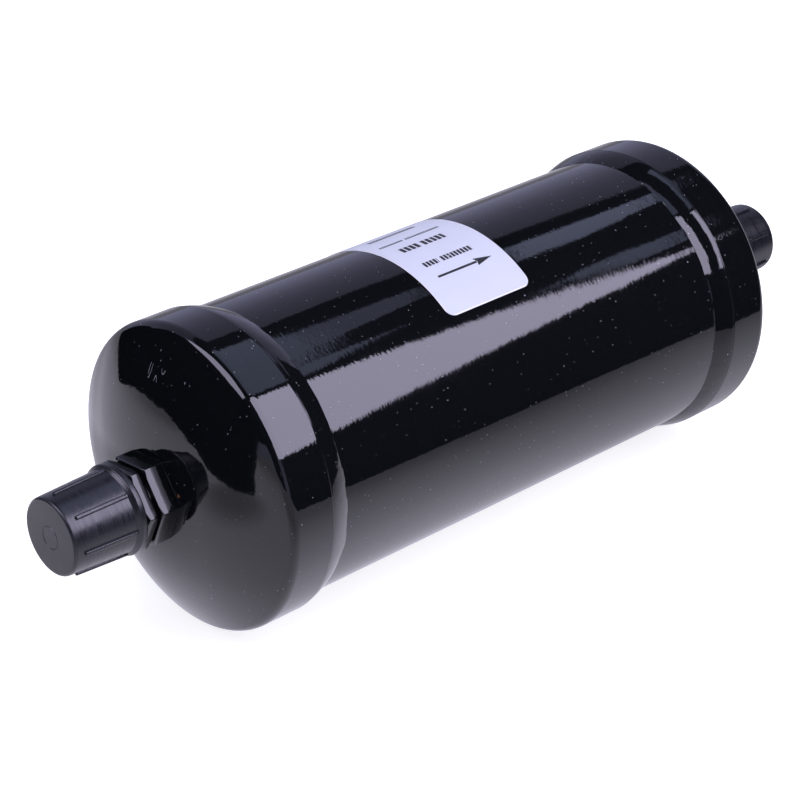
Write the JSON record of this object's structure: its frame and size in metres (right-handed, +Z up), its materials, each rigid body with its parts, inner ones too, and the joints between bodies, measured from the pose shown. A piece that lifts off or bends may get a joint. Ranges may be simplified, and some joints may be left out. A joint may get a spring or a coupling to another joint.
{
  "type": "filter drier",
  "caption": "Steel liquid-line filter drier: tube with pressed-on domed ends, flare fittings, removable plastic thread caps and a spring-held moulded core inside.",
  "frame": {"origin": "middle of the shell's axis", "axes": "+X along the flow from the inlet to the outlet, +Z up; the label lies on the -Y side of the top"},
  "size_m": [0.249, 0.0802, 0.0802],
  "materials": {
    "black_paint": "gloss",
    "cap_plastic": "satin",
    "label_film": "satin",
    "braze": "satin",
    "spring_steel": "satin",
    "plate_steel": "satin",
    "glass_fibre": "matte",
    "felt": "matte",
    "desiccant": "matte"
  },
  "bodies": {
    "drier": {"shell_tube": "black_paint", "inlet_end": "black_paint", "outlet_end": "black_paint", "inlet_seam_weld": "black_paint", "outlet_seam_weld": "black_paint", "inlet_fitting": "black_paint", "outlet_fitting": "black_paint", "inlet_braze_ring": "braze", "outlet_braze_ring": "braze", "label": "label_film", "core_spring": "spring_steel", "spring_plate": "plate_steel", "inlet_pad": "glass_fibre", "desiccant_core": "desiccant", "core_gasket": "felt", "outlet_pad": "glass_fibre", "outlet_screen": "plate_steel", "outlet_plate": "plate_steel"},
    "inlet_cap": {"inlet_thread_cap": "cap_plastic"},
    "outlet_cap": {"outlet_thread_cap": "cap_plastic"}
  },
  "joints": [
    {"name": "inlet_cap_off", "type": "slide", "parent": "drier", "child": "inlet_cap", "axis": [-1, 0, 0], "range_m": [0, 0.025]},
    {"name": "outlet_cap_off", "type": "slide", "parent": "drier", "child": "outlet_cap", "axis": [1, 0, 0], "range_m": [0, 0.025]}
  ]
}
